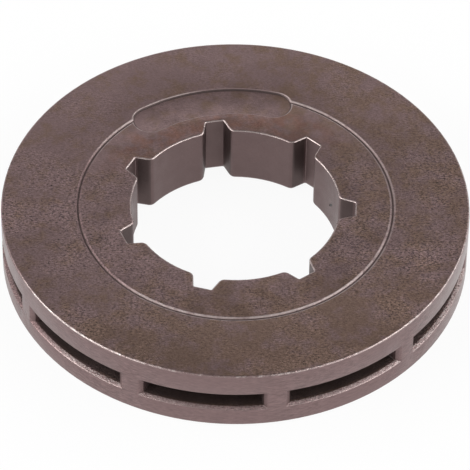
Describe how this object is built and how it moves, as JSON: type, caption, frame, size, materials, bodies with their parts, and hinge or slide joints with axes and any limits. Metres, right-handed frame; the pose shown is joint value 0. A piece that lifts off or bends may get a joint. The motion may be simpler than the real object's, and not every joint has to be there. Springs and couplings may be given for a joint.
{
  "type": "chainsaw rim sprocket",
  "caption": "Flat steel disc with blind drive-link slots round its edge and a splined through bore; it slides on a clutch drum's hub and drives the saw chain.",
  "frame": {"origin": "on the bore axis, in the plane of the lower face", "axes": "+Z along the bore axis towards the face with the ring line; +Y towards the middle of the curved mark recess"},
  "size_m": [0.0536, 0.0536, 0.0079],
  "materials": {
    "cast_steel": "dark bronze-grey oxide on fine cast grain, satin, brighter along worn edges"
  },
  "bodies": {
    "root": {"rim_sprocket": "cast_steel"}
  },
  "joints": []
}
